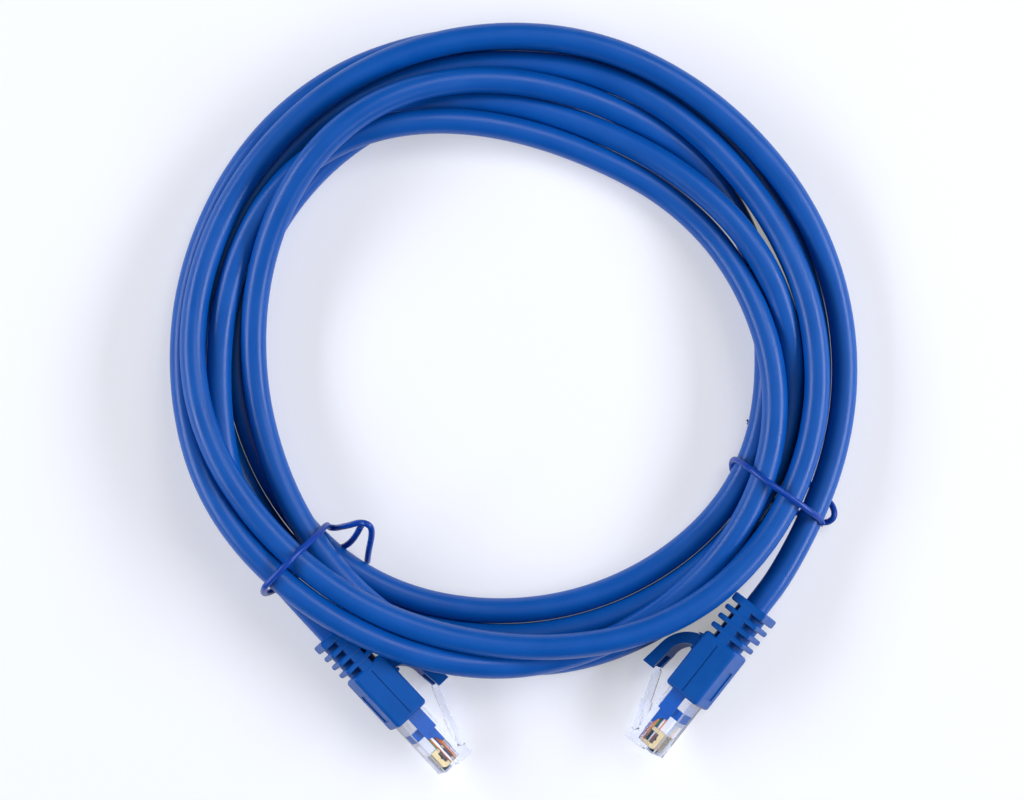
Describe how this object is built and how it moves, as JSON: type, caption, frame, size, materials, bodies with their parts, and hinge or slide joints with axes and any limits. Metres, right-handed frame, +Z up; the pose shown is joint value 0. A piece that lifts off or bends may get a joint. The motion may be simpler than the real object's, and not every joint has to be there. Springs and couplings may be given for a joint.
{
  "type": "ethernet patch cable",
  "caption": "Coiled network patch cable with a blue jacket, a clear modular plug with a moulded boot at each end, and a wire tie at each side of the coil.",
  "frame": {"origin": "middle of the bounding box in X and Y, on the surface that the coil rests on", "axes": "+Z up out of the surface; +Y from the plugs towards the far side of the coil; +X to the right as seen from above"},
  "size_m": [0.1621, 0.1771, 0.0207],
  "materials": {
    "jacket": "semi-gloss PVC",
    "boot": "satin",
    "clear_housing": "clear polycarbonate",
    "contact_gold": "gold plated",
    "filler": "matte",
    "tie_wire": "plain",
    "tie_coat": "glossy",
    "insulation_orange": "semi-gloss",
    "insulation_green": "semi-gloss",
    "insulation_blue": "semi-gloss",
    "insulation_brown": "semi-gloss",
    "insulation_white_orange": "semi-gloss",
    "insulation_white_green": "semi-gloss",
    "insulation_white_blue": "semi-gloss",
    "insulation_white_brown": "semi-gloss"
  },
  "bodies": {
    "cable": {"jacket_coil": "jacket", "jacket_end_a": "jacket", "jacket_tail_a": "jacket", "jacket_tail_b": "jacket", "jacket_end_b": "jacket", "pair_orange": "insulation_orange", "pair_green": "insulation_green", "pair_blue": "insulation_blue", "pair_brown": "insulation_brown", "cross_filler": "filler", "tie_left_core": "tie_wire", "tie_left_coat": "tie_coat", "tie_right_core": "tie_wire", "tie_right_coat": "tie_coat", "plug_a_housing": "clear_housing", "plug_a_load_bar": "clear_housing", "plug_a_inner_mould": "boot", "plug_a_boot": "boot", "plug_a_contact_1": "contact_gold", "plug_a_wire_1": "insulation_white_orange", "plug_a_contact_2": "contact_gold", "plug_a_wire_2": "insulation_orange", "plug_a_contact_3": "contact_gold", "plug_a_wire_3": "insulation_white_green", "plug_a_contact_4": "contact_gold", "plug_a_wire_4": "insulation_blue", "plug_a_contact_5": "contact_gold", "plug_a_wire_5": "insulation_white_blue", "plug_a_contact_6": "contact_gold", "plug_a_wire_6": "insulation_green", "plug_a_contact_7": "contact_gold", "plug_a_wire_7": "insulation_white_brown", "plug_a_contact_8": "contact_gold", "plug_a_wire_8": "insulation_brown", "plug_b_housing": "clear_housing", "plug_b_load_bar": "clear_housing", "plug_b_inner_mould": "boot", "plug_b_boot": "boot", "plug_b_contact_1": "contact_gold", "plug_b_wire_1": "insulation_white_orange", "plug_b_contact_2": "contact_gold", "plug_b_wire_2": "insulation_orange", "plug_b_contact_3": "contact_gold", "plug_b_wire_3": "insulation_white_green", "plug_b_contact_4": "contact_gold", "plug_b_wire_4": "insulation_blue", "plug_b_contact_5": "contact_gold", "plug_b_wire_5": "insulation_white_blue", "plug_b_contact_6": "contact_gold", "plug_b_wire_6": "insulation_green", "plug_b_contact_7": "contact_gold", "plug_b_wire_7": "insulation_white_brown", "plug_b_contact_8": "contact_gold", "plug_b_wire_8": "insulation_brown"},
    "latch_a": {"plug_a_latch": "clear_housing"},
    "hood_a": {"plug_a_hood": "boot"},
    "latch_b": {"plug_b_latch": "clear_housing"},
    "hood_b": {"plug_b_hood": "boot"}
  },
  "joints": [
    {"name": "latch_a_press", "type": "hinge", "parent": "cable", "child": "latch_a", "pos_m": [0.02934, -0.07711, 0.00635], "axis": [0.2688, -0.2115, -0.9397], "range_deg": [0, 9.5], "stiffness_Nm_per_rad": 0.3},
    {"name": "hood_a_press", "type": "hinge", "parent": "cable", "child": "hood_a", "pos_m": [0.04332, -0.05668, 0.00575], "axis": [-0.2688, 0.2115, 0.9397], "range_deg": [0, 11.97], "stiffness_Nm_per_rad": 0.15},
    {"name": "latch_b_press", "type": "hinge", "parent": "cable", "child": "latch_b", "pos_m": [-0.01272, -0.08078, 0.00642], "axis": [0.1806, 0.1685, 0.969], "range_deg": [0, 9.5], "stiffness_Nm_per_rad": 0.3},
    {"name": "hood_b_press", "type": "hinge", "parent": "cable", "child": "hood_b", "pos_m": [-0.02832, -0.06156, 0.00599], "axis": [-0.1806, -0.1685, -0.969], "range_deg": [0, 11.97], "stiffness_Nm_per_rad": 0.15}
  ],
  "couplings": [
    {"joint": "hood_a_press", "follows": "latch_a_press", "ratio": 1.26},
    {"joint": "hood_b_press", "follows": "latch_b_press", "ratio": 1.26}
  ]
}
